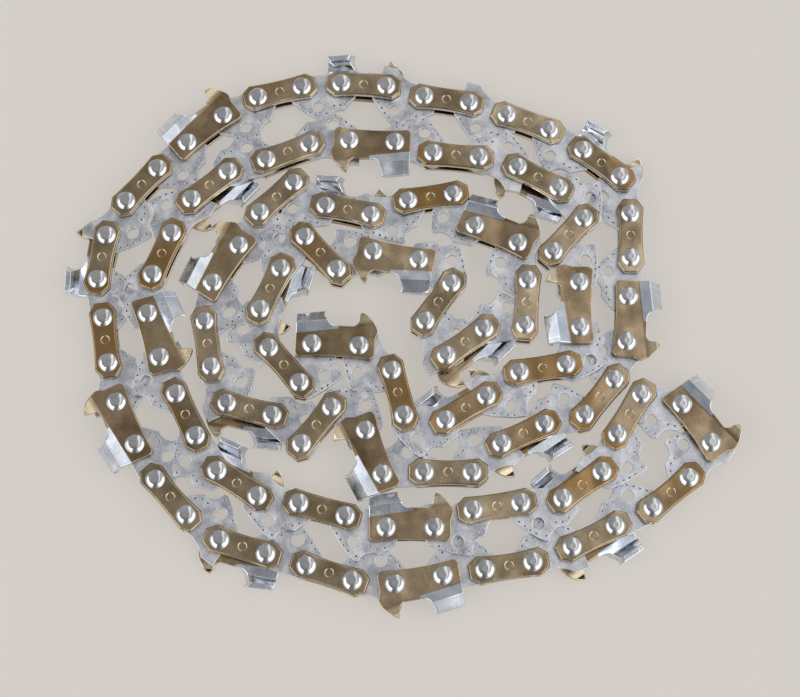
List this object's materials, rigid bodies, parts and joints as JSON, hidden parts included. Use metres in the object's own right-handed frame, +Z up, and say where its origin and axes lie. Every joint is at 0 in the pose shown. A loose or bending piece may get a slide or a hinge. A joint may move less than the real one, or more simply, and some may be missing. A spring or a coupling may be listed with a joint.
{
  "type": "chainsaw chain loop",
  "caption": "Closed loop of riveted saw chain, folded double and coiled flat, with right and left chamfer-chisel cutters, tie straps, guard links and drive tangs.",
  "frame": {"origin": "middle of the loop's box, on the table it lies on", "axes": "+Z up from the table, X along the coil's longer side, the outer fold towards +X and -Y"},
  "size_m": [0.1458, 0.127, 0.0074],
  "materials": {
    "cutter_steel": "straw-tinted hardened steel, bright hard-chrome plating on the chamfer and top plate",
    "strap_steel": "straw to bronze tempered steel, tumbled",
    "drive_steel": "pale bright tumbled steel",
    "rivet_steel": "bright spun rivet heads"
  },
  "bodies": {
    "coil": {"right_cutter_02": "cutter_steel", "right_cutter_03": "cutter_steel", "right_cutter_04": "cutter_steel", "right_cutter_05": "cutter_steel", "right_cutter_06": "cutter_steel", "right_cutter_07": "cutter_steel", "right_cutter_08": "cutter_steel", "right_cutter_09": "cutter_steel", "right_cutter_10": "cutter_steel", "right_cutter_11": "cutter_steel", "right_cutter_12": "cutter_steel", "right_cutter_13": "cutter_steel", "right_cutter_14": "cutter_steel", "left_cutter_02": "cutter_steel", "left_cutter_03": "cutter_steel", "left_cutter_04": "cutter_steel", "left_cutter_05": "cutter_steel", "left_cutter_06": "cutter_steel", "left_cutter_07": "cutter_steel", "left_cutter_08": "cutter_steel", "left_cutter_09": "cutter_steel", "left_cutter_10": "cutter_steel", "left_cutter_11": "cutter_steel", "left_cutter_12": "cutter_steel", "left_cutter_13": "cutter_steel", "left_cutter_14": "cutter_steel", "drive_links": "drive_steel", "bumper_links": "drive_steel", "upper_tie_straps": "strap_steel", "lower_tie_straps": "strap_steel", "rivets": "rivet_steel"},
    "inner_side": {"inner_side_upper_strap": "strap_steel", "inner_side_lower_strap": "strap_steel", "inner_side_rivets": "rivet_steel"},
    "outer_side": {"outer_side_upper_strap": "strap_steel", "outer_side_lower_strap": "strap_steel", "outer_side_rivets": "rivet_steel"},
    "fold_end": {"right_cutter_01": "cutter_steel", "left_cutter_01": "cutter_steel", "left_cutter_15": "cutter_steel", "fold_drive_links": "drive_steel", "fold_bumper_links": "drive_steel", "fold_upper_straps": "strap_steel", "fold_lower_straps": "strap_steel", "fold_rivets": "rivet_steel"}
  },
  "joints": [
    {"name": "fold_swing", "type": "hinge", "parent": "coil", "child": "inner_side", "pos_m": [0.0158, -0.04104, 0.004], "axis": [0, 0, 1], "range_deg": [-30, 0]},
    {"name": "inner_pivot", "type": "hinge", "parent": "inner_side", "child": "fold_end", "pos_m": [0.02584, -0.03948, 0.004], "axis": [0, 0, 1], "range_deg": [-0.5, 30.5]},
    {"name": "outer_swing", "type": "hinge", "parent": "coil", "child": "outer_side", "pos_m": [0.01823, -0.05328, 0.004], "axis": [0, 0, 1], "range_deg": [-30.5, 0.5]}
  ],
  "couplings": [
    {"joint": "inner_pivot", "follows": "fold_swing", "ratio": -1},
    {"joint": "outer_swing", "follows": "fold_swing", "ratio": 1}
  ]
}
